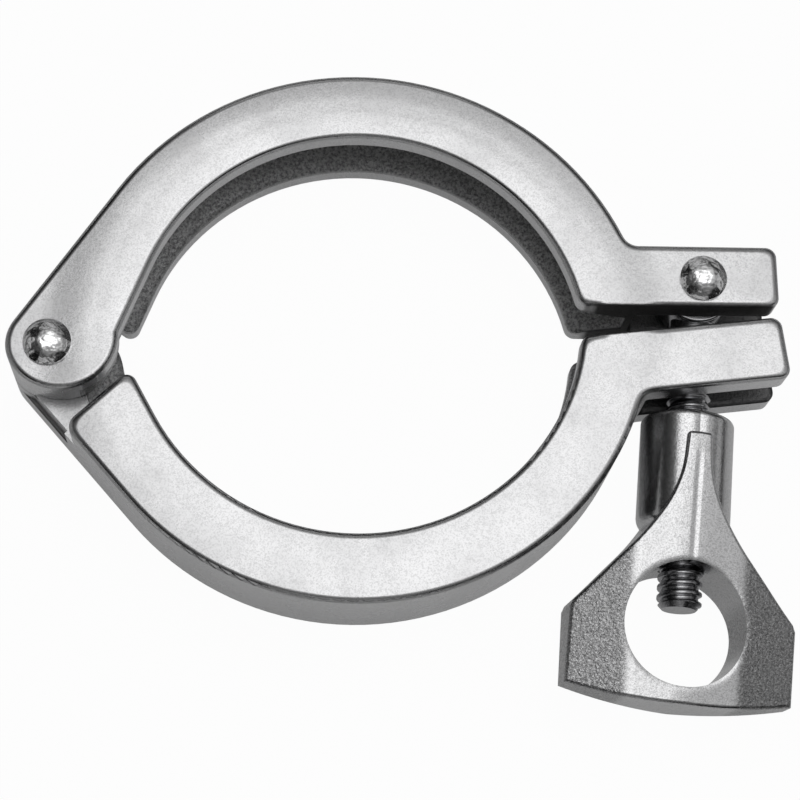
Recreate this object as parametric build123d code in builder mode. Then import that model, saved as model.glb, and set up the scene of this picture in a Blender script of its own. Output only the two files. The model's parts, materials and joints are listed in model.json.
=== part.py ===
"""Sanitary hinged clamp, single pin, for a pair of 3 inch ferrules.

Two identical stainless castings are hinged at one end. The lower one is the
upper one turned over. A swing bolt in the upper lug drops into the slot of the
lower lug, and a wing nut pulls the two lugs together.

Frame: origin at the centre of the upper half's ring, on the back face.
+X points from the hinge to the lugs, +Z along the bore towards the front face,
+Y from the lower half to the upper half. The clamp lies on its back face.
Lengths are in millimetres, angles in degrees.
"""

import os
from math import acos, asin, atan2, cos, degrees, hypot, radians, sin, tan

from build123d import *

os.makedirs("parts", exist_ok=True)

# --------------------------------------------------------------------------
# Driving dimensions
# --------------------------------------------------------------------------

# ring
lip_radius = 40.0  # inner edge of the two lips, clears the 76.2 mm tube
body_radius = 52.3  # outside of the ring
thickness = 19.0  # front face to back face
land = 3.3  # height of each lip at its inner edge
groove_radius = 49.2  # bottom of the groove
flank_angle = 20.0  # slope of the groove's two flanks
edge_radius = 0.6  # rounding of the outline's edges

# lugs, in the frame of the casting
lug_low = 8.3  # parting face, above the ring's centre
lug_high = 19.9
lug_end = 75.3
lug_corner = 2.0
lug_fillet = 3.0  # where the lug runs into the ring
slot_root = 49.7
slot_width = 9.4

# hinge, in the frame of the casting
hinge_x = -54.5
shoulder_radius = 10.0  # rounded inner end of the ear plate
shoulder_x, shoulder_y = -52.3, 1.5
lip_run_out = 158.0  # angle at which the lip leaves its circle
lip_run_end = 3.13  # angle on the shoulder's circle at which its straight run ends
plate = 6.2  # thickness of the ear plate
lap_gap = 0.3  # between the laps of the two halves
step_distance = 13.2  # from the pin to the step that clears the other ear
step_slope = -36.7  # direction of the step's edge
step_corner_out = 2.6  # rounding at the flank
step_corner_in = 1.8  # rounding at the lip
parting_y = 1.6  # where the middle layer of the hinge ends
swing_gap = 0.6  # around the other half's knuckle
recess = 0.7  # band set back between the two plates
band_length = 13.0

# rivets
rivet_radius = 2.75
running_gap = 0.05  # radial, around a rivet or the bolt
head_radius = 4.2
head_edge = 0.5  # straight side of a head
front_dome = 1.9
back_dome = 0.7  # the peened ends at the back are flatter
back_edge = 0.3
lug_rivet_x, lug_rivet_y = 61.7, 13.6

# how the halves and the bolt lie
closing_angle = 6.6  # lower half, past the line of symmetry
bolt_lean = -5.3  # bolt, from square to the upper lug towards the ring

# swing bolt
bolt_radius = 3.97  # 5/16 inch
bolt_length = 58.8  # pin to tip
bolt_chamfer = 0.6
eye_radius = 6.4
eye_gap = 0.3  # on each side of the eye, in the slot

# wing nut
nut_top = 24.0  # from the lug rivet to the nut's top face
barrel_radius = 8.35
barrel_length = 21.5
barrel_end_round = 3.0
barrel_round = 1.2  # at the nut's top face
nut_turn = 6.0  # about the bolt, left wing forward
nut_bottom = 76.3  # from the lug rivet
wing_half_width = 20.2
wing_shoulder = 59.8  # where the straight sides of the wings begin
shoulder_corner = 0.5
# how the sides flare out: share of the width, share of the way to the shoulder
wing_flare = (
    (0, 0),
    (0.045, 0.247),
    (0.137, 0.390),
    (0.280, 0.526),
    (0.423, 0.633),
    (0.589, 0.740),
    (0.800, 0.877),
    (1, 1),
)
wing_side_end = 74.1
finger_hole_radius = 10.9
finger_hole_at = 62.3
ridge_half_width = 2.2
ridge_start = 4.5  # below the nut's top face
half_thick_top = 8.3  # of the wings on the centre line, at the barrel's end
half_thick_bottom = 5.7  # of the wings on the centre line, at the bottom
side_slope = 9.0  # of each face, from the centre line to the tips
nut_edge_radius = 0.7

# --------------------------------------------------------------------------
# Derived positions, in the frame of the casting
# --------------------------------------------------------------------------

mid = thickness / 2


def on_circle(x, y, radius, angle):
    """The point of a circle at an angle."""
    return (x + radius * cos(radians(angle)), y + radius * sin(radians(angle)))


# the knuckle around the pin runs into the larger shoulder where both are tangent
ear_radius = shoulder_radius - hypot(hinge_x - shoulder_x, shoulder_y)
ear_blend_angle = degrees(atan2(-shoulder_y, hinge_x - shoulder_x)) + 360

# the straight flank touches the knuckle and the ring's outside
flank_normal = 180 - degrees(acos((body_radius - ear_radius) / -hinge_x))
flank_top = on_circle(0, 0, body_radius, flank_normal)
flank_bottom = on_circle(hinge_x, 0, ear_radius, flank_normal)
flank_in = on_circle(0, 0, -1, flank_normal)  # unit step square to the flank

# lips and lug
lip_end_angle = degrees(asin(lug_low / lip_radius))
lip_start = on_circle(0, 0, lip_radius, lip_run_out)
lip_end = on_circle(0, 0, lip_radius, lip_end_angle)
body_end_angle = degrees(asin(lug_high / body_radius))
body_end = on_circle(0, 0, body_radius, body_end_angle)

# the lip runs out straight to the shoulder
run_end = on_circle(shoulder_x, shoulder_y, shoulder_radius, lip_run_end)
run_end_angle = lip_run_end + 360

# levels of the hinge's laps
plate_top = plate + lap_gap / 2
mid_low = mid + lap_gap / 2
front_plate = thickness - plate

# --------------------------------------------------------------------------
# The casting, used twice
# --------------------------------------------------------------------------

with BuildPart() as casting:
    # full outline: lips, lug, ring, flank, ear
    with BuildSketch() as outline:
        with BuildLine():
            CenterArc((0, 0), lip_radius, lip_run_out, lip_end_angle - lip_run_out)
            Polyline(
                lip_end,
                (lug_end, lug_low),
                (lug_end, lug_high),
                body_end,
            )
            CenterArc((0, 0), body_radius, body_end_angle, flank_normal - body_end_angle)
            Line(flank_top, flank_bottom)
            CenterArc(
                (hinge_x, 0), ear_radius, flank_normal, ear_blend_angle - flank_normal
            )
            CenterArc(
                (shoulder_x, shoulder_y),
                shoulder_radius,
                ear_blend_angle,
                run_end_angle - ear_blend_angle,
            )
            Line(run_end, lip_start)
        make_face()
        fillet(outline.vertices().sort_by_distance((lug_end, lug_high))[0], lug_corner)
        fillet(outline.vertices().sort_by_distance((lug_end, lug_low))[0], lug_corner)
        fillet(outline.vertices().sort_by_distance(lip_end)[0], lug_corner)
        fillet(outline.vertices().sort_by_distance(body_end)[0], lug_fillet)
    extrude(amount=thickness)

    # back layer of the hinge: cleared for the other half's ear plate
    step_dir = (cos(radians(step_slope)), sin(radians(step_slope)))
    step_mid = on_circle(hinge_x, 0, step_distance, step_slope + 90)
    with BuildSketch() as back_cut:
        Polygon(
            (step_mid[0] - 30 * step_dir[0], step_mid[1] - 30 * step_dir[1]),
            (step_mid[0] + 30 * step_dir[0], step_mid[1] + 30 * step_dir[1]),
            (step_mid[0] + 30 * step_dir[0], -40),
            (-90, -40),
            (-90, step_mid[1] - 30 * step_dir[1]),
            align=None,
        )
    extrude(amount=plate_top + lap_gap / 2, mode=Mode.SUBTRACT)
    flank_corner = (step_mid[0] - 9 * step_dir[0], step_mid[1] - 9 * step_dir[1], mid / 2)
    lip_corner = (step_mid[0] + 8 * step_dir[0], step_mid[1] + 8 * step_dir[1], mid / 2)
    fillet(
        casting.edges().filter_by(Axis.Z).sort_by_distance(flank_corner)[0],
        step_corner_out,
    )
    fillet(
        casting.edges().filter_by(Axis.Z).sort_by_distance(lip_corner)[0],
        step_corner_in,
    )

    # rounded front and back edges
    rims = casting.edges().filter_by_position(Axis.Z, thickness, thickness)
    rims += casting.edges().filter_by_position(Axis.Z, 0, 0)
    fillet(rims, edge_radius)

    # groove that grips the ferrules
    with BuildSketch(Plane.XZ) as groove:
        inside = lip_radius - 8
        slope = tan(radians(flank_angle))
        low_inside = land - (lip_radius - inside) * slope
        low_bottom = land + (groove_radius - lip_radius) * slope
        Polygon(
            (inside, low_inside),
            (groove_radius, low_bottom),
            (groove_radius, thickness - low_bottom),
            (inside, thickness - low_inside),
            align=None,
        )
    revolve(axis=Axis.Z, mode=Mode.SUBTRACT)

    # slot of the lug, open at its end, top and bottom
    with BuildSketch(Plane.XZ) as slot:
        with Locations((slot_root, mid)):
            Rectangle(
                lug_end - slot_root + 5, slot_width, align=(Align.MIN, Align.CENTER)
            )
        fillet(slot.vertices().group_by(Axis.X)[0], 1.0)
    extrude(amount=-lug_high - 10, mode=Mode.SUBTRACT)

    # lower middle layer: cleared for the other half's knuckle
    with BuildSketch(Plane.XY.offset(plate_top)) as low_cut:
        with Locations((hinge_x, 0)):
            Circle(ear_radius + swing_gap)
        Polygon(
            (hinge_x, parting_y),
            (-30, parting_y),
            (-30, -20),
            (-70, -20),
            (-70, parting_y),
            align=None,
        )
    extrude(amount=mid_low - plate_top, mode=Mode.SUBTRACT)

    # upper middle layer: own knuckle stays, the rest is cleared
    with BuildSketch(Plane.XY.offset(mid_low)) as high_cut:
        Polygon(
            (-80, parting_y),
            (-30, parting_y),
            (-30, -20),
            (-80, -20),
            align=None,
        )
        with Locations((hinge_x, 0)):
            Circle(ear_radius, mode=Mode.SUBTRACT)
    extrude(amount=front_plate - mid_low, mode=Mode.SUBTRACT)

    # band set back between the plates, from the knuckle to the step
    with BuildSketch(Plane.XY.offset(plate_top)) as band:
        band_end = (
            flank_bottom[0] + band_length * cos(radians(flank_normal - 90)),
            flank_bottom[1] + band_length * sin(radians(flank_normal - 90)),
        )
        with BuildLine():
            Polyline(
                (flank_bottom[0] - 3 * flank_in[0], flank_bottom[1] - 3 * flank_in[1]),
                (band_end[0] - 3 * flank_in[0], band_end[1] - 3 * flank_in[1]),
                (band_end[0] + recess * flank_in[0], band_end[1] + recess * flank_in[1]),
                (
                    flank_bottom[0] + recess * flank_in[0],
                    flank_bottom[1] + recess * flank_in[1],
                ),
                close=True,
            )
        make_face()
        with Locations((hinge_x, 0)):
            Circle(ear_radius, mode=Mode.SUBTRACT)
    extrude(amount=front_plate - plate_top, mode=Mode.SUBTRACT)

    # hole for the hinge pin
    with Locations((hinge_x, 0, 0)):
        Hole(rivet_radius + running_gap)

# --------------------------------------------------------------------------
# Upper half: the casting, with the lug drilled for the swing bolt's rivet
# --------------------------------------------------------------------------

with BuildPart() as upper_half:
    add(casting.part)
    with Locations((lug_rivet_x, lug_rivet_y, 0)):
        Hole(rivet_radius + running_gap)
upper_half.part.label = "upper_half"

# --------------------------------------------------------------------------
# Lower half: the casting turned over, and swung about the hinge pin
# --------------------------------------------------------------------------

lower_frame = Plane(
    origin=(
        hinge_x - hinge_x * cos(radians(closing_angle)),
        -hinge_x * sin(radians(closing_angle)),
        thickness,
    ),
    x_dir=(cos(radians(closing_angle)), sin(radians(closing_angle)), 0),
    z_dir=(0, 0, -1),
)
with BuildPart(lower_frame) as lower_half:
    add(casting.part)
lower_half.part.label = "lower_half"

# --------------------------------------------------------------------------
# Rivets: a shank with a domed head in front and a flatter peened end behind
# --------------------------------------------------------------------------


def dome_sphere(height):
    """Radius of the sphere that a head's dome is part of."""
    return (head_radius**2 + height**2) / (2 * height)


def rivet_section(x, y):
    """Half section of a rivet, to be revolved about its axis."""
    with BuildSketch(Plane((x, y, 0), x_dir=(1, 0, 0), z_dir=(0, -1, 0))) as section:
        with BuildLine():
            front = thickness + head_edge
            top = (0, front + front_dome)
            bottom = (0, -back_edge - back_dome)
            Line(bottom, top)
            front_sphere = dome_sphere(front_dome)
            RadiusArc(top, (head_radius, front), front_sphere)
            Polyline(
                (head_radius, front),
                (head_radius, thickness),
                (rivet_radius, thickness),
                (rivet_radius, 0),
                (head_radius, 0),
                (head_radius, -back_edge),
            )
            RadiusArc((head_radius, -back_edge), bottom, dome_sphere(back_dome))
        make_face()
    return section


with BuildPart() as hinge_rivet:
    add(rivet_section(hinge_x, 0).sketch)
    revolve(axis=Axis((hinge_x, 0, 0), (0, 0, 1)))
hinge_rivet.part.label = "hinge_rivet"

with BuildPart() as lug_rivet:
    add(rivet_section(lug_rivet_x, lug_rivet_y).sketch)
    revolve(axis=Axis((lug_rivet_x, lug_rivet_y, 0), (0, 0, 1)))
lug_rivet.part.label = "lug_rivet"

# --------------------------------------------------------------------------
# Swing bolt: an eye on the lug rivet, and a shank through both slots
# --------------------------------------------------------------------------

lean = radians(bolt_lean)
down = (sin(lean), -cos(lean), 0)  # along the bolt, from the eye to the tip
across_bolt = (cos(lean), sin(lean), 0)
bolt_start = (lug_rivet_x, lug_rivet_y, mid)

with BuildPart() as swing_bolt:
    # shank
    with BuildSketch(Plane(bolt_start, x_dir=across_bolt, z_dir=down)):
        Circle(bolt_radius)
    extrude(amount=bolt_length)
    tip = swing_bolt.faces().sort_by_distance(
        tuple(bolt_start[i] + (bolt_length + 10) * down[i] for i in range(3))
    )[0]
    chamfer(tip.edges(), bolt_chamfer)
    # eye
    eye_half = slot_width / 2 - eye_gap
    with BuildSketch(Plane((lug_rivet_x, lug_rivet_y, mid - eye_half))):
        Circle(eye_radius)
    extrude(amount=2 * eye_half)
    with Locations((lug_rivet_x, lug_rivet_y, mid)):
        Hole(rivet_radius + running_gap)
swing_bolt.part.label = "swing_bolt"

# --------------------------------------------------------------------------
# Wing nut: a barrel that runs out into two wings around a finger hole
# --------------------------------------------------------------------------

turn = radians(nut_turn)
wing_right = (cos(turn) * cos(lean), cos(turn) * sin(lean), -sin(turn))
# frame of the wings: x to the right wing, y along the bolt to the eye
wing_plane = Plane(
    bolt_start,
    x_dir=wing_right,
    z_dir=(sin(turn) * cos(lean), sin(turn) * sin(lean), cos(turn)),
)

# right-hand side, from the ridge on the barrel to the shoulder of the wing
side_points = [
    (
        ridge_half_width + out * (wing_half_width - shoulder_corner - ridge_half_width),
        -nut_top - ridge_start - down_share * (wing_shoulder - nut_top - ridge_start),
    )
    for out, down_share in wing_flare
]
shoulder_end = (wing_half_width, -wing_shoulder - 2.4 * shoulder_corner)
side_end = (wing_half_width, -wing_side_end)


def left(point):
    """The same point of the left wing."""
    return (-point[0], point[1])


with BuildPart() as wings:
    # outline, from the ridge on the barrel to the flared tips
    with BuildSketch(wing_plane):
        with BuildLine():
            Spline(*side_points, tangents=((0.05, -1), (0.75, -0.8)))
            Polyline(side_points[-1], shoulder_end, side_end)
            ThreePointArc(side_end, (0, -nut_bottom), left(side_end))
            Polyline(left(side_end), left(shoulder_end), left(side_points[-1]))
            Spline(
                *[left(point) for point in reversed(side_points)],
                tangents=((0.75, 0.8), (0.05, 1)),
            )
            Line(left(side_points[0]), side_points[0])
        make_face()
    # each face falls away from the centre line and towards the bottom
    fall = (half_thick_top - half_thick_bottom) / (nut_bottom - nut_top - barrel_length)
    ridge_height = half_thick_top + fall * (barrel_length - ridge_start)
    extrude(amount=ridge_height + 1, both=True)
    for front in (1, -1):
        for hand in (1, -1):
            face_origin = wing_plane.from_local_coords(
                (0, -nut_top - barrel_length, front * half_thick_top)
            )
            normal = wing_plane.from_local_coords(
                (hand * tan(radians(side_slope)), -fall, front)
            ) - wing_plane.from_local_coords((0, 0, 0))
            split(bisect_by=Plane(face_origin, z_dir=normal), keep=Keep.BOTTOM)
    # rounded rims; the ridge along the centre line stays
    rims = [
        edge
        for edge in wings.edges()
        if abs(wing_plane.to_local_coords(edge.center()).X) > 1
        and abs(wing_plane.to_local_coords(edge.center()).Z) > 1
    ]
    fillet(rims, nut_edge_radius)

with BuildPart() as wing_nut:
    # barrel
    with BuildSketch(
        Plane(
            tuple(bolt_start[i] + nut_top * down[i] for i in range(3)),
            x_dir=across_bolt,
            z_dir=down,
        )
    ):
        Circle(barrel_radius)
    extrude(amount=barrel_length)
    barrel_ends = wing_nut.edges().filter_by(GeomType.CIRCLE)
    fillet(barrel_ends.sort_by_distance(bolt_start)[0], barrel_round)
    barrel_ends = wing_nut.edges().filter_by(GeomType.CIRCLE)
    fillet(barrel_ends.sort_by_distance(bolt_start)[-1], barrel_end_round)
    add(wings.part)
    # finger hole and threaded bore
    with BuildSketch(wing_plane) as finger:
        with Locations((0, -finger_hole_at)):
            Circle(finger_hole_radius)
    extrude(amount=thickness, both=True, mode=Mode.SUBTRACT)
    with BuildSketch(Plane(bolt_start, x_dir=across_bolt, z_dir=down)):
        Circle(bolt_radius + running_gap)
    extrude(amount=finger_hole_at, mode=Mode.SUBTRACT)
wing_nut.part.label = "wing_nut"

for piece in (upper_half, lower_half, hinge_rivet, lug_rivet, swing_bolt, wing_nut):
    export_step(piece.part, f"parts/{piece.part.label}.step")
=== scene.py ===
# %% [markdown]
# # Dressing a sanitary hinged clamp
# The clamp is two stainless castings, two rivets, a swing bolt and a wing nut.
# Their solids come ready from the frame, in metres. This lesson gives them a
# tumbled and polished steel finish, swaps the plain bolt for one with a real
# thread, and lights the clamp on a pale table.

# %% Load the frame
import json
import math

import bpy
from mathutils import Matrix, Vector


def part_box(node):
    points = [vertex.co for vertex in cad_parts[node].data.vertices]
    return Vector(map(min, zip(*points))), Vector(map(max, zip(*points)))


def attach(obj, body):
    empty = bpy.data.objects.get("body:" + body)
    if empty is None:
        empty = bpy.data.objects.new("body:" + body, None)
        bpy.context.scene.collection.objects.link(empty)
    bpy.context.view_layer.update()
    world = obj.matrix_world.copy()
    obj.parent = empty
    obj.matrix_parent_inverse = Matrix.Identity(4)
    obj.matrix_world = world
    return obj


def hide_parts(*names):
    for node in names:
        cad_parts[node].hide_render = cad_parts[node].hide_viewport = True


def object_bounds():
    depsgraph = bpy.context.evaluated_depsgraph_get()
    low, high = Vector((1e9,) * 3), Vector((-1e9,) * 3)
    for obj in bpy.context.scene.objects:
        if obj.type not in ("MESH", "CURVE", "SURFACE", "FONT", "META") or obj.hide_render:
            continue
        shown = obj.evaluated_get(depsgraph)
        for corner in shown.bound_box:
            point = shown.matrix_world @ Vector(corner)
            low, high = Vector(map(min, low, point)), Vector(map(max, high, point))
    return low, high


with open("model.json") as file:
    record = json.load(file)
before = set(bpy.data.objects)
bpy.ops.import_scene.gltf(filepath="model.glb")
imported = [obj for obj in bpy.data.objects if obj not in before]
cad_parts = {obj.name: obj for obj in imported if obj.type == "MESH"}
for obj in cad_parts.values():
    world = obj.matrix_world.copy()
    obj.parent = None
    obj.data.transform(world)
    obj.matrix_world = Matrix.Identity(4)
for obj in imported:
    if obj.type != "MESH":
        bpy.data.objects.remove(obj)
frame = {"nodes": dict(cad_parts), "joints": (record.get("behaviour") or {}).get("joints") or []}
MM = 0.001
UP = Vector((0, 0, 1))
cad_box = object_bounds()
print("solids:", sorted(frame["nodes"]))

# %% [markdown]
# ## The pieces that keep their solid
# The castings, the rivets and the wing nut already have their real shape, down
# to the rounded rims. Their solids stay, with the smooth normals that came with
# them, and only get a finish. The bolt is the one piece that is modelled again.

# %% Helpers and places


def pick_only(obj):
    """Selects one object and makes it active."""
    bpy.ops.object.select_all(action="DESELECT")
    obj.select_set(True)
    bpy.context.view_layer.objects.active = obj


def joint(name):
    """One of the frame's joints."""
    return next(j for j in frame["joints"] if j["name"] == name)


upper = frame["nodes"]["upper_half"]
lower = frame["nodes"]["lower_half"]
hinge_head = frame["nodes"]["hinge_rivet"]
lug_head = frame["nodes"]["lug_rivet"]
nut = frame["nodes"]["wing_nut"]
for piece in (upper, lower, hinge_head, lug_head, nut):
    piece.data.materials.clear()

hinge_at = Vector(joint("hinge_open")["pos_m"])
pin = Vector(joint("bolt_swing")["pos_m"])
along = Vector(joint("wing_nut_spin")["axis"]).normalized()
square_to_bolt = Vector((-along.y, along.x, 0)).normalized()
nut_turn = math.radians(6.0)  # out of the ring's plane
nut_right = math.cos(nut_turn) * square_to_bolt - math.sin(nut_turn) * UP
print("the bolt hangs on", [round(v / MM, 2) for v in pin])

# %% [markdown]
# ## The swing bolt and its thread
# The bolt is turned from bar: an eye at one end and a coarse thread over most of
# the shank. A thread is one ridge that runs round and round, so its section is
# drawn once and swept by the Screw modifier. The sweep is cut square at both
# ends, the eye is joined on with a Boolean, and the tip is turned to a chamfer.
# All of it is built upright at the origin and laid along the bolt at the end.

# %% Sizes of the bolt
bolt_low, bolt_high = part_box("swing_bolt")
bolt_radius = 3.97 * MM
bolt_length = 58.8 * MM
thread_start = 13.0 * MM
pitch = 1.81 * MM
thread_depth = 0.62 * MM
shank_radius = bolt_radius - 0.02 * MM
shank_length = thread_start + 1.2 * MM
eye_radius = 6.4 * MM
eye_half = (bolt_high[2] - bolt_low[2]) / 2
hole_radius = 2.8 * MM
print("bolt box", [round(v / MM, 2) for v in (*bolt_low, *bolt_high)])

# %% Draw the thread's section by extruding a point
root = bolt_radius - thread_depth
root_round = bolt_radius - 0.88 * thread_depth
crest_round = bolt_radius - 0.14 * thread_depth
# radius, and height as a share of the pitch
pitch_section = (
    (root, 0.00),
    (root, 0.24),
    (root_round, 0.31),
    (crest_round, 0.46),
    (bolt_radius, 0.53),
    (bolt_radius, 0.78),
    (crest_round, 0.85),
    (root_round, 0.97),
    (root, 1.00),
)
turns_below, turns_above = 2, 4  # cut off again
section_foot = thread_start - turns_below * pitch
bpy.ops.object.select_all(action="DESELECT")
bpy.ops.mesh.primitive_plane_add(size=MM)
thread = bpy.context.object
thread.name = "swing_bolt_threaded"
bpy.ops.object.mode_set(mode="EDIT")
bpy.ops.mesh.merge(type="CENTER")
bpy.ops.transform.translate(value=(pitch_section[0][0], 0, section_foot))
for (r0, share0), (r1, share1) in zip(pitch_section, pitch_section[1:]):
    bpy.ops.mesh.extrude_region_move(
        TRANSFORM_OT_translate={"value": (r1 - r0, 0, (share1 - share0) * pitch)}
    )
bpy.ops.object.mode_set(mode="OBJECT")
print("section points", len(thread.data.vertices))

# %% Sweep it and cut the sweep square
steps_per_turn = 40
turns = int((bolt_length - thread_start) / pitch)
sweep = thread.modifiers.new("thread", "SCREW")
sweep.axis = "Z"
sweep.steps = steps_per_turn
sweep.render_steps = steps_per_turn
sweep.screw_offset = pitch
sweep.iterations = turns_below + turns + turns_above
sweep.use_merge_vertices = True
sweep.merge_threshold = 0.001 * MM
bpy.ops.object.modifier_apply(modifier=sweep.name)


def cut_square(z, upwards):
    """Takes off what lies above a height, or below it, and closes the cut."""
    bpy.ops.mesh.select_all(action="SELECT")
    bpy.ops.mesh.bisect(
        plane_co=(0, 0, z),
        plane_no=(0, 0, 1),
        use_fill=True,
        clear_outer=upwards,
        clear_inner=not upwards,
    )


bpy.ops.object.mode_set(mode="EDIT")
bpy.ops.mesh.select_all(action="SELECT")
bpy.ops.mesh.remove_doubles(threshold=0.002 * MM)
cut_square(bolt_length + MM, upwards=True)
cut_square(thread_start, upwards=False)
bpy.ops.mesh.select_all(action="SELECT")
bpy.ops.mesh.normals_make_consistent(inside=False)
bpy.ops.object.mode_set(mode="OBJECT")
print("thread faces", len(thread.data.polygons))

# %% Plain shank, eye and tip


def rounded_cylinder(radius, depth, centre, rounding, turned=False, steps=4):
    """A cylinder with rounded rims, along Z or, turned, along Y."""
    bpy.ops.object.select_all(action="DESELECT")
    bpy.ops.mesh.primitive_cylinder_add(
        vertices=96,
        radius=radius,
        depth=depth,
        location=centre,
        rotation=(math.pi / 2 if turned else 0, 0, 0),
    )
    made = bpy.context.object
    bpy.ops.object.transform_apply(location=True, rotation=True, scale=True)
    if rounding:
        edge = made.modifiers.new("rims", "BEVEL")
        edge.width = rounding
        edge.segments = steps
        edge.limit_method = "ANGLE"
        bpy.ops.object.modifier_apply(modifier=edge.name)
    return made


def combine(target, tool, how):
    """Joins or cuts a mesh with another, and removes the other."""
    pick_only(target)
    step = target.modifiers.new(how, "BOOLEAN")
    step.operation = how
    step.object = tool
    step.solver = "EXACT"
    bpy.ops.object.modifier_apply(modifier=step.name)
    bpy.data.objects.remove(tool)


origin = (0, 0, 0)
shank_middle = (0, 0, shank_length / 2)
shank = rounded_cylinder(shank_radius, shank_length, shank_middle, 0.35 * MM)
eye = rounded_cylinder(eye_radius, 2 * eye_half, origin, 0.5 * MM, turned=True)
hole = rounded_cylinder(hole_radius, 4 * eye_half, origin, 0, turned=True)
combine(eye, shank, "UNION")
combine(eye, hole, "DIFFERENCE")
combine(thread, eye, "UNION")
# a lathe's cut: a cylinder wide enough to clear the eye, whose bevelled end
# takes a chamfer of 0.95 mm off the tip, where the last thread runs out
lathe_margin = 6 * MM
lathe_bevel = 6.95 * MM
lathe_radius = bolt_radius + lathe_margin
lathe = rounded_cylinder(lathe_radius, 2 * bolt_length, origin, lathe_bevel, steps=1)
combine(thread, lathe, "INTERSECT")
thread.data.materials.clear()

# %% Lay the bolt along its real direction
turn = Matrix((square_to_bolt, UP, along)).transposed()
place = Matrix.Translation(pin) @ turn.to_4x4()
thread.data.transform(place)
pick_only(thread)
bpy.ops.object.shade_smooth_by_angle(angle=math.radians(35))
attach(thread, "swing_bolt")
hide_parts("swing_bolt")
print("threaded bolt faces", len(thread.data.polygons))

# %% [markdown]
# ## Steel with a tumbled skin
# All the castings come out of a tumbler with ceramic stones, which leaves fine
# dents and scuffs that point every way. The relief is the same kind on every
# piece and only differs in size and strength, so it is a group.

# %% Group for the tumbled relief


def new_group(name, inputs, outputs):
    """A shader node group with named inputs and outputs."""
    group = bpy.data.node_groups.new(name, "ShaderNodeTree")
    for label, kind, default in inputs:
        socket = group.interface.new_socket(label, in_out="INPUT", socket_type=kind)
        if default is not None:
            socket.default_value = default
    for label, kind in outputs:
        group.interface.new_socket(label, in_out="OUTPUT", socket_type=kind)
    enter = group.nodes.new("NodeGroupInput")
    leave = group.nodes.new("NodeGroupOutput")
    return group, enter, leave


def maths(tree, operation, a, b=None, c=None):
    """A Math node fed by sockets or numbers."""
    node = tree.nodes.new("ShaderNodeMath")
    node.operation = operation
    for index, value in enumerate((a, b, c)):
        if value is None:
            continue
        if isinstance(value, (int, float)):
            node.inputs[index].default_value = value
        else:
            tree.links.new(value, node.inputs[index])
    return node.outputs[0]


def plus(tree, a, b):
    """The sum of two sockets or numbers."""
    return maths(tree, "ADD", a, b)


def minus(tree, a, b):
    """The difference of two sockets or numbers."""
    return maths(tree, "SUBTRACT", a, b)


def times(tree, a, b):
    """The product of two sockets or numbers."""
    return maths(tree, "MULTIPLY", a, b)


def diagonal(tree, dx, dy):
    """The length of two steps at right angles."""
    squares = plus(tree, times(tree, dx, dx), times(tree, dy, dy))
    return maths(tree, "SQRT", squares)


def fall_away(tree, value, width, drop):
    """A height that sinks with the square of a value, from 0 up to a width."""
    kept = maths(tree, "MINIMUM", maths(tree, "MAXIMUM", value, 0.0), width)
    return times(tree, times(tree, kept, kept), -drop)


def noise(tree, vector, scale, detail=2.0, rough=0.5):
    """A Noise node's factor, about 0.5 on average."""
    node = tree.nodes.new("ShaderNodeTexNoise")
    node.inputs["Scale"].default_value = scale
    node.inputs["Detail"].default_value = detail
    node.inputs["Roughness"].default_value = rough
    tree.links.new(vector, node.inputs["Vector"])
    return node.outputs["Fac"]


def ramp(tree, value, low, high, out_low=0.0, out_high=1.0, smooth=True):
    """A Map Range node between two values."""
    node = tree.nodes.new("ShaderNodeMapRange")
    node.interpolation_type = "SMOOTHSTEP" if smooth else "LINEAR"
    tree.links.new(value, node.inputs["Value"])
    node.inputs["From Min"].default_value = low
    node.inputs["From Max"].default_value = high
    node.inputs["To Min"].default_value = out_low
    node.inputs["To Max"].default_value = out_high
    return node.outputs["Result"]


relief, relief_in, relief_out = new_group(
    "tumbled relief",
    (
        ("Vector", "NodeSocketVector", None),
        ("Dents", "NodeSocketFloat", 1.0),
        ("Grain", "NodeSocketFloat", 1.0),
    ),
    (("Height", "NodeSocketFloat"), ("Speckle", "NodeSocketFloat")),
)
scuff_height, speck_height = 0.35, 0.22  # beside dents of 1
fine_share = 0.25  # of the speckle; the rest is grain
broad = noise(relief, relief_in.outputs["Vector"], 420, 2.0)
fine = noise(relief, relief_in.outputs["Vector"], 1500, 3.0, 0.6)
grain = noise(relief, relief_in.outputs["Vector"], 3600, 2.0, 0.7)
dents = times(relief, broad, relief_in.outputs["Dents"])
scuffs = times(relief, fine, relief_in.outputs["Grain"])
specks = times(relief, grain, relief_in.outputs["Grain"])
height = plus(relief, dents, times(relief, scuffs, scuff_height))
height = plus(relief, height, times(relief, specks, speck_height))
relief.links.new(height, relief_out.inputs["Height"])
mottle = times(relief, grain, 1 - fine_share)
mottle = plus(relief, times(relief, fine, fine_share), mottle)
speckle = ramp(relief, mottle, 0.38, 0.56)
relief.links.new(speckle, relief_out.inputs["Speckle"])

# %% Materials


def blend_colours(tree, share, first, second):
    """A colour between two others, each of them a colour or a socket."""
    node = tree.nodes.new("ShaderNodeMix")
    node.data_type = "RGBA"
    tree.links.new(share, node.inputs["Factor"])
    for label, colour in (("A", first), ("B", second)):
        if isinstance(colour, tuple):
            node.inputs[label].default_value = (*colour, 1)
        else:
            tree.links.new(colour, node.inputs[label])
    return node.outputs["Result"]


def darker(colour, share):
    """A colour at a share of its brightness."""
    return tuple(c * share for c in colour)


# what a place that wasn't polished has beyond the relief
cast_pits, cast_roughness = 0.3, 0.14
# the deepest painted shade is near black and hardly a metal any more
painted_black_shades = (0.65, 0.95)
cast_and_shade_brightness, painted_black_metal, painted_black_roughness = 0.04, 0.05, 0.3


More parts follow.
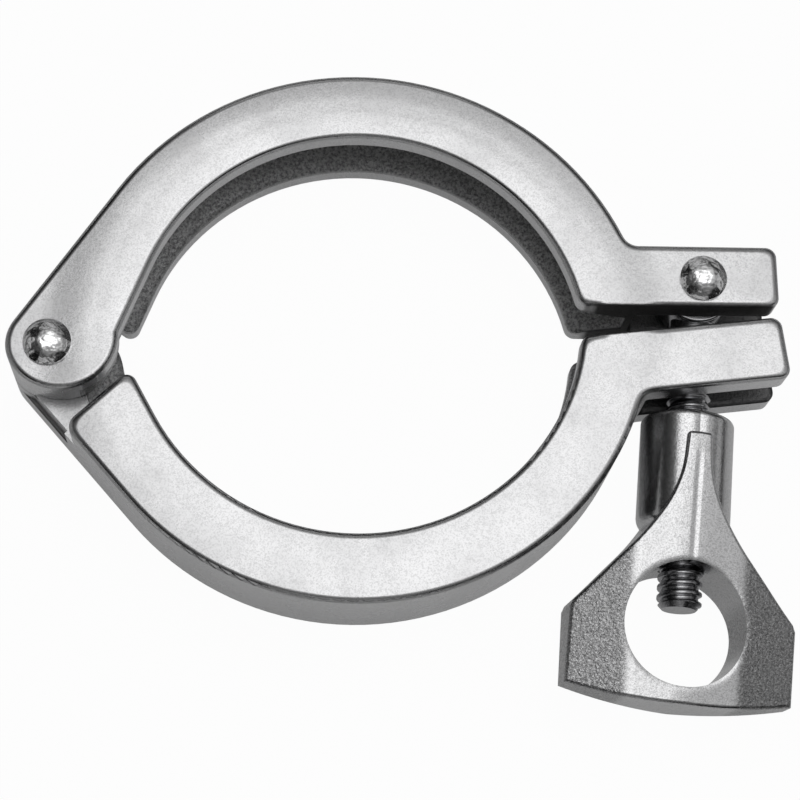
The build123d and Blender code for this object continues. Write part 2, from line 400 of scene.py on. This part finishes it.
def steel(
    name,
    colour,
    roughness,
    spread,
    bump,
    dents,
    grain,
    speckle_depth,
    wear=None,
    dull_and_shade=None,
):
    """Metal whose colour and gloss vary a little with the tumbled relief.

    wear gives a height that is added to the relief. The last argument gives a mask
    of the places that weren't polished, and a shade that darkens the colour there:
    painted shade, in the groove partly the cast skin. Where deepest it is near
    black and hardly a metal.
    """
    material = bpy.data.materials.new(name)
    material.use_nodes = True
    tree = material.node_tree
    shader = tree.nodes["Principled BSDF"]
    shader.inputs["Metallic"].default_value = 1.0
    coords = tree.nodes.new("ShaderNodeTexCoord").outputs["Object"]
    skin = tree.nodes.new("ShaderNodeGroup")
    skin.node_tree = relief
    tree.links.new(coords, skin.inputs["Vector"])
    skin.inputs["Dents"].default_value = dents
    skin.inputs["Grain"].default_value = grain
    # a little darker in the pits
    pit_colour = darker(colour, 1 - speckle_depth)
    colour_out = blend_colours(tree, skin.outputs["Speckle"], pit_colour, colour)
    cloud = noise(tree, coords, 90, 3.0, 0.6)
    glossiest, dullest = roughness - spread, roughness + spread
    rough_out = ramp(tree, cloud, 0.3, 0.7, glossiest, dullest, smooth=False)
    height_out = times(tree, skin.outputs["Height"], bump)
    if dull_and_shade is not None:
        mask, shade = dull_and_shade(tree, coords)
        pits = noise(tree, coords, 1700, 3.0, 0.7)
        pits = times(tree, times(tree, pits, mask), cast_pits)
        height_out = plus(tree, height_out, pits)
        rough_out = plus(tree, rough_out, times(tree, mask, cast_roughness))
        # painted shade, in the groove partly the cast skin: the colour darkens towards near
        # black
        cast_and_shade_colour = darker(colour, cast_and_shade_brightness)
        colour_out = blend_colours(tree, shade, colour_out, cast_and_shade_colour)
        metal = ramp(tree, shade, *painted_black_shades, 1.0, painted_black_metal)
        tree.links.new(metal, shader.inputs["Metallic"])
        duller = ramp(tree, shade, *painted_black_shades, 0.0, painted_black_roughness)
        rough_out = plus(tree, rough_out, duller)
    if wear is not None:
        height_out = plus(tree, height_out, wear(tree, coords))
    tree.links.new(colour_out, shader.inputs["Base Color"])
    tree.links.new(rough_out, shader.inputs["Roughness"])
    relief_bump = tree.nodes.new("ShaderNodeBump")
    relief_bump.inputs["Strength"].default_value = 1.0
    relief_bump.inputs["Distance"].default_value = MM
    tree.links.new(height_out, relief_bump.inputs["Height"])
    tree.links.new(relief_bump.outputs["Normal"], shader.inputs["Normal"])
    return material


# %% [markdown]
# The tumbler also wears the faces of the ring a little round: they fall away
# slowly from the middle of the ring, and fast at every rim. The groove inside
# isn't reached by the stones and stays as it was cast, rougher and pitted, and
# darker: partly its cast skin and partly painted shade in the recess. The slot
# and the faces between the lugs are painted near black, which is painted shade.
# The first comes from the distance to the ring's centre and from how far inside
# the casting's outline a point lies, the rest from where the groove, the slot and
# the lugs are. Both halves are the same casting, so the outline is described once.

# %% Sizes of the casting, in millimetres
thickness = 19.0
body_radius, lip_radius, groove_radius, ear_radius = 52.3, 40.0, 49.2, 7.34
lug_low, lug_high, lug_start, lug_end = 8.3, 19.9, 44.0, 75.3
shoulder_at, shoulder_radius = (-52.3, 1.5), 10.0
lip_run = math.radians(158.0)  # where the lip leaves its circle
step_at, step_slope = 13.2, math.radians(53.3)
step_ends = (9.0, 9.6)  # depth at which the step gives way to the ear
groove_heights = (2.9, 16.1)
slot_heights = (4.7, 14.3)
slot_start = 49.3

# %% Sizes of the wear, in millimetres
crown_middle, crown_flat, crown_ends, crown_drop = 46.2, 1.0, 10.5, 0.42
rim_width, rim_drop = 1.2, 0.42
seam = 0.2  # half the width in which one line of the outline takes over
far_off = 100.0  # moves a distance so far that it doesn't count
# how softly two lines of the outline meet
lip_blend, corner_blend, joint_blend = 1.0, 3.0, 4.0

# %% Where the two rings are
upper_centre = (0.0, 0.0)
closing = math.radians(6.6)  # of the lower half, past the line of symmetry
lower_centre = (
    hinge_at.x * (1 - math.cos(closing)),
    -hinge_at.x * math.sin(closing),
)


def along_direction(tree, coords, direction, start):
    """How far a point lies from a start along a direction, in millimetres."""
    offset = tree.nodes.new("ShaderNodeVectorMath")
    offset.operation = "SUBTRACT"
    tree.links.new(coords, offset.inputs[0])
    offset.inputs[1].default_value = start
    product = tree.nodes.new("ShaderNodeVectorMath")
    product.operation = "DOT_PRODUCT"
    tree.links.new(offset.outputs[0], product.inputs[0])
    product.inputs[1].default_value = direction
    return times(tree, product.outputs["Value"], 1 / MM)


def ring_distance(tree, coords, centre):
    """Distance from a ring's axis in millimetres, and the point's coordinates."""
    split = tree.nodes.new("ShaderNodeSeparateXYZ")
    tree.links.new(coords, split.inputs[0])
    dx = minus(tree, split.outputs["X"], centre[0])
    dy = minus(tree, split.outputs["Y"], centre[1])
    return times(tree, diagonal(tree, dx, dy), 1 / MM), split


# %% Outline of the casting


def outline_inset(tree, x, y, depth):
    """How far inside the casting's outline a point lies, in millimetres."""

    def reach(place):
        """How far it is to a place."""
        return diagonal(tree, minus(tree, x, place[0]), minus(tree, y, place[1]))

    def across(direction):
        """How far out the point lies in a direction."""
        return plus(tree, times(tree, x, direction[0]), times(tree, y, direction[1]))

    def switch(share, before, after):
        """One distance before a line and another one past it."""
        return plus(tree, before, times(tree, share, minus(tree, after, before)))

    def nearest(a, b, blend):
        """The smaller of two distances, rounded where they meet."""
        return maths(tree, "SMOOTH_MIN", a, b, blend)

    hinge_x = hinge_at.x / MM
    lean = math.acos((body_radius - ear_radius) / -hinge_x)
    outwards = (-math.cos(lean), math.sin(lean))
    towards_ear = (-outwards[1], outwards[0])
    # the outside runs round the ring, down the flank and round the ear to the shoulder
    ring = reach((0, 0))
    run = across(towards_ear)
    outside = switch(ramp(tree, run, -seam, seam), ring, across(outwards))
    ear = plus(tree, reach((hinge_x, 0)), body_radius - ear_radius)
    ear_start = towards_ear[0] * hinge_x
    at_ear = ramp(tree, run, ear_start - seam, ear_start + seam)
    outside = switch(at_ear, outside, ear)
    from_outside = minus(tree, body_radius, outside)
    # the lip is a circle, and a straight run past its end
    inset = nearest(from_outside, minus(tree, ring, lip_radius), lip_blend)
    lip_out = (math.cos(lip_run), math.sin(lip_run))
    past_lip = ramp(tree, across((-lip_out[1], lip_out[0])), -seam, seam)
    behind_lip = minus(tree, across(lip_out), lip_radius)
    run_inset = maths(tree, "MINIMUM", from_outside, behind_lip)
    inset = switch(past_lip, inset, run_inset)
    # the shoulder of the ear, past the line where it leaves the ear's round
    to_hinge = Vector((hinge_x - shoulder_at[0], -shoulder_at[1])).normalized()
    offset = to_hinge[0] * shoulder_at[1] - to_hinge[1] * shoulder_at[0]
    past_ear = minus(tree, across((-to_hinge[1], to_hinge[0])), offset)
    shoulder = minus(tree, shoulder_radius, reach(shoulder_at))
    on_ear = ramp(tree, past_ear, -seam / 2, seam / 2, far_off, 0.0)
    inset = maths(tree, "MAXIMUM", inset, minus(tree, shoulder, on_ear))
    # ring, then the lug beside it, then the step that clears the other ear
    above_parting = minus(tree, y, lug_low)
    at_lug_side = maths(tree, "MAXIMUM", above_parting, times(tree, x, -1.0))
    inset = nearest(inset, at_lug_side, corner_blend)
    lug = nearest(minus(tree, lug_high, y), minus(tree, lug_end, x), corner_blend)
    lug = nearest(lug, above_parting, corner_blend)
    lug = maths(tree, "MINIMUM", lug, minus(tree, x, lug_start))
    inset = maths(tree, "SMOOTH_MAX", inset, lug, joint_blend)
    step_out = (math.cos(step_slope), math.sin(step_slope))
    from_step = minus(tree, across(step_out), hinge_x * step_out[0] + step_at)
    from_step = plus(tree, from_step, ramp(tree, depth, *step_ends, 0.0, 2 * far_off))
    return nearest(inset, from_step, joint_blend)


# %% Worn faces, unpolished places and painted shade


def worn_face(centre, lug_along, lug_up, turned_over):
    """How far a tumbled face falls away over the ring and at every rim."""

    def build(tree, coords):
        distance, split = ring_distance(tree, coords, centre)
        off = maths(tree, "ABSOLUTE", minus(tree, distance, crown_middle))
        crown = ramp(tree, off, crown_flat, crown_ends, 0.0, -crown_drop)
        x = along_direction(tree, coords, lug_along, (*centre, 0))
        y = along_direction(tree, coords, lug_up, (*centre, 0))
        depth = times(tree, split.outputs["Z"], 1 / MM)
        if turned_over:
            depth = minus(tree, thickness, depth)
        near_rim = minus(tree, rim_width, outline_inset(tree, x, y, depth))
        return plus(tree, crown, fall_away(tree, near_rim, rim_width, rim_drop))

    return build


def cast_and_shade_mask(centre, lug_along, lug_up):
    """Where the stones didn't reach, and how dark it is there.

    That is in the groove, in the slot and between the lugs. The slot and the
    faces between the lugs are painted near black as painted shade; the groove is
    darkened with pits, partly its cast skin and partly painted shade.
    """

    def build(tree, coords):
        distance, split = ring_distance(tree, coords, centre)

        def between(low, high, soft):
            """1 between two heights in millimetres, with soft ends."""
            z = split.outputs["Z"]
            above = ramp(tree, z, low * MM, (low + soft) * MM)
            below = ramp(tree, z, high * MM, (high - soft) * MM)
            return times(tree, above, below)

        inside = ramp(tree, distance, groove_radius + 0.3, groove_radius + 0.1)
        past_lip = ramp(tree, distance, lip_radius, lip_radius + 0.5)
        groove = times(tree, inside, past_lip)
        groove = times(tree, groove, between(*groove_heights, 0.5))
        lug_x = along_direction(tree, coords, lug_along, (*centre, 0))
        lug_y = along_direction(tree, coords, lug_up, (*centre, 0))
        on_lug = ramp(tree, lug_x, lug_start - 3.0, lug_start - 1.0)
        facing = ramp(tree, lug_y, lug_low + 0.6, lug_low + 0.05)
        facing = times(tree, on_lug, facing)
        slot = between(*slot_heights, 0.15)
        slot = times(tree, slot, ramp(tree, lug_x, slot_start, slot_start + 0.5))
        # the slot and the faces between the lugs: painted shade, near black
        shaded_gaps = maths(tree, "MAXIMUM", facing, slot)
        rough = maths(tree, "MAXIMUM", groove, shaded_gaps)
        # the groove darkened with pits: partly its cast skin, partly painted shade in the recess
        pitted = ramp(tree, noise(tree, coords, 1900, 3.0, 0.7), 0.36, 0.62, 0.62, 0.0)
        groove_cast_and_shade = times(tree, groove, pitted)
        shade = maths(tree, "MAXIMUM", groove_cast_and_shade, times(tree, shaded_gaps, 0.95))
        return rough, shade

    return build


# %% Wear of the wing nut, in millimetres
face_slope = 0.158  # of the solid's faces, away from the centre line
# along the bolt, from its pin
ridge_starts, ridge_ends = (30.0, 36.0), (54.0, 50.0)
wings_down = (40.0, 44.0)
finger_hole_at = 62.3
# away from the centre line, and around the finger hole
wings_out = (9.0, 11.0)
crease_width, crease_depth = 0.9, 0.09
hole_rim_radius, hole_rim_width, hole_rim_drop = 12.0, 1.1, 0.12


def nut_wear(tree, coords):
    """Wears the middle flat, lets the wings fall away and rounds the hole's rim."""
    out = maths(tree, "ABSOLUTE", along_direction(tree, coords, nut_right, pin))
    # the middle makes up for the solid's slope, the shoulder for a part of it
    middle = times(tree, out, face_slope)
    shoulder = plus(tree, times(tree, out, 0.097), 0.1)
    wing = minus(tree, 2.08, times(tree, out, 0.11))
    height = maths(tree, "SMOOTH_MIN", middle, shoulder, 0.15)
    height = maths(tree, "SMOOTH_MIN", height, wing, 0.3)
    ridge_at = along_direction(tree, coords, along, pin)
    on_ridge = ramp(tree, ridge_at, *ridge_starts)
    on_ridge = times(tree, on_ridge, ramp(tree, ridge_at, *ridge_ends))
    crease = ramp(tree, out, 0.0, crease_width, -crease_depth, 0.0)
    height = plus(tree, height, times(tree, crease, on_ridge))
    hole = pin + finger_hole_at * MM * along
    down = along_direction(tree, coords, along, hole)
    side = along_direction(tree, coords, nut_right, hole)
    near_hole = minus(tree, hole_rim_radius, diagonal(tree, down, side))
    rim = fall_away(tree, near_hole, hole_rim_width, hole_rim_drop)
    return plus(tree, height, rim)


def dull_and_shaded_wings(tree, coords):
    """1 on the two wings, which are rougher, and a speckled painted shade that darkens them."""
    out = maths(tree, "ABSOLUTE", along_direction(tree, coords, nut_right, pin))
    down = along_direction(tree, coords, along, pin)
    wings = ramp(tree, out, *wings_out)
    wings = times(tree, wings, ramp(tree, down, *wings_down))
    # painted shade: the wings are darkened, with a speckle
    specks = ramp(tree, noise(tree, coords, 3000, 2.0, 0.7), 0.36, 0.64, 0.6, 0.15)
    return times(tree, wings, 0.5), times(tree, wings, specks)


# %% Give every piece its steel
satin = (0.56, 0.56, 0.565)
lower_along = (math.cos(closing), math.sin(closing), 0)
lower_up = (math.sin(closing), -math.cos(closing), 0)
for casting, name, centre, lug_along, lug_up in (
    (upper, "upper casting steel", upper_centre, (1, 0, 0), (0, 1, 0)),
    (lower, "lower casting steel", lower_centre, lower_along, lower_up),
):
    casting_steel = steel(
        name,
        satin,
        roughness=0.27,
        spread=0.05,
        bump=0.02,
        dents=1.0,
        grain=1.5,
        speckle_depth=0.2,
        wear=worn_face(centre, lug_along, lug_up, turned_over=casting is lower),
        dull_and_shade=cast_and_shade_mask(centre, lug_along, lug_up),
    )
    casting.data.materials.append(casting_steel)
rivet_steel = steel(
    "polished rivet steel",
    (0.85, 0.85, 0.855),
    roughness=0.2,
    spread=0.05,
    bump=0.25,
    dents=1.8,
    grain=0.3,
    speckle_depth=0.1,
)
hinge_head.data.materials.append(rivet_steel)
lug_head.data.materials.append(rivet_steel)
bolt_steel = steel(
    "threaded bolt steel",
    (0.4, 0.4, 0.41),
    roughness=0.22,
    spread=0.05,
    bump=0.015,
    dents=0.8,
    grain=1.5,
    speckle_depth=0.3,
)
thread.data.materials.append(bolt_steel)
nut_steel = steel(
    "wing nut steel",
    satin,
    roughness=0.2,
    spread=0.04,
    bump=0.03,
    dents=1.0,
    grain=2.2,
    speckle_depth=0.3,
    wear=nut_wear,
    dull_and_shade=dull_and_shaded_wings,
)
nut.data.materials.append(nut_steel)

# %% [markdown]
# ## Table, lamps and camera
# A polished metal shows what is around it. A broad soft lamp overhead makes the
# flat faces bright, a darker band below it draws thin dark lines along the
# rounded edges, and the pale table fills the walls that face it. Four low lamps,
# one on each side, are what the steel mirrors when it is seen from low down.

# %% Table
camera_glow, mirror_glow = 0.97, 0.22  # share of plain white in each kind of ray
low_z = cad_box[0][2]
bpy.ops.object.select_all(action="DESELECT")
bpy.ops.mesh.primitive_plane_add(size=3, location=(0, 0, low_z))
table = bpy.context.object
table.name = "table"
bpy.ops.object.transform_apply(location=True)
white = bpy.data.materials.new("white table")
white.use_nodes = True
tree = white.node_tree
matte = tree.nodes["Principled BSDF"]
matte.inputs["Base Color"].default_value = (0.9, 0.9, 0.9, 1)
matte.inputs["Roughness"].default_value = 0.9
matte.inputs["Specular IOR Level"].default_value = 0.1
glow = tree.nodes.new("ShaderNodeEmission")
glow.inputs["Color"].default_value = (1, 1, 1, 1)
glow.inputs["Strength"].default_value = 1.0
path = tree.nodes.new("ShaderNodeLightPath")
seen = times(tree, path.outputs["Is Camera Ray"], camera_glow)
mirrored = times(tree, path.outputs["Is Glossy Ray"], mirror_glow)
coords = tree.nodes.new("ShaderNodeTexCoord").outputs["Object"]
away = tree.nodes.new("ShaderNodeVectorMath")
away.operation = "LENGTH"
tree.links.new(coords, away.inputs[0])
# the mirrored table is bright only near the clamp
nearby = ramp(tree, away.outputs["Value"], 0.10, 0.20, 1.0, 0.1)
mirrored = times(tree, mirrored, nearby)
share = maths(tree, "MAXIMUM", seen, mirrored)
blend = tree.nodes.new("ShaderNodeMixShader")
tree.links.new(share, blend.inputs["Fac"])
tree.links.new(matte.outputs["BSDF"], blend.inputs[1])
tree.links.new(glow.outputs["Emission"], blend.inputs[2])
tree.links.new(blend.outputs["Shader"], tree.nodes["Material Output"].inputs["Surface"])
table.data.materials.append(white)

# %% Room around the table
world = bpy.data.worlds.new("studio")
bpy.context.scene.world = world
world.use_nodes = True
tree = world.node_tree
background = tree.nodes["Background"]
direction = tree.nodes.new("ShaderNodeTexCoord").outputs["Generated"]
parts = tree.nodes.new("ShaderNodeSeparateXYZ")
tree.links.new(direction, parts.inputs[0])
# bright overhead, nearly black low down, and darker on the left and near sides
low_level, overhead_level = 0.03, 0.8
left_share, near_share = 0.12, 0.3
level = ramp(tree, parts.outputs["Z"], 0.35, 0.95, low_level, overhead_level)
left_side = ramp(tree, parts.outputs["X"], -0.6, 0.1, left_share, 1.0)
near_side = ramp(tree, parts.outputs["Y"], -0.5, 0.05, near_share, 1.0)
level = times(tree, level, times(tree, left_side, near_side))
tree.links.new(level, background.inputs["Strength"])
background.inputs["Color"].default_value = (1, 1, 1, 1)

# %% Lamps
aim = (0.01, 0, 0)


def soft_lamp(name, place, width, height, power):
    """A rectangular soft lamp that points at the clamp."""
    data = bpy.data.lights.new(name, "AREA")
    data.shape = "RECTANGLE"
    data.size = width
    data.size_y = height
    data.energy = power
    lamp = bpy.data.objects.new(name, data)
    bpy.context.collection.objects.link(lamp)
    lamp.location = place
    facing = Vector(aim) - Vector(place)
    lamp.rotation_euler = facing.to_track_quat("-Z", "Y").to_euler()


soft_lamp("overhead softbox", (0.05, 0.12, 0.74), width=0.56, height=0.48, power=0.84)
low_lamp = {"width": 0.66, "height": 0.26, "power": 0.26}
for side, place in (
    ("front", (-0.10, -0.80, 0.30)),
    ("left", (-0.80, 0.05, 0.30)),
    ("right", (0.85, 0.05, 0.30)),
    ("back", (0.00, 0.85, 0.30)),
):
    soft_lamp(side + " softbox", place, **low_lamp)

# %% Camera
camera_data = bpy.data.cameras.new("camera")
camera_data.sensor_width = 36
camera_data.lens = 96.2
camera = bpy.data.objects.new("camera", camera_data)
bpy.context.collection.objects.link(camera)
camera.matrix_world = Matrix(
    (
        (0.9984, -0.0113, -0.0555, -0.013626),
        (-0.0059, 0.9535, -0.3012, -0.122296),
        (0.0563, 0.3011, 0.9519, 0.374311),
        (0, 0, 0, 1),
    )
)
bpy.context.scene.camera = camera
bpy.context.scene.view_settings.view_transform = "Standard"
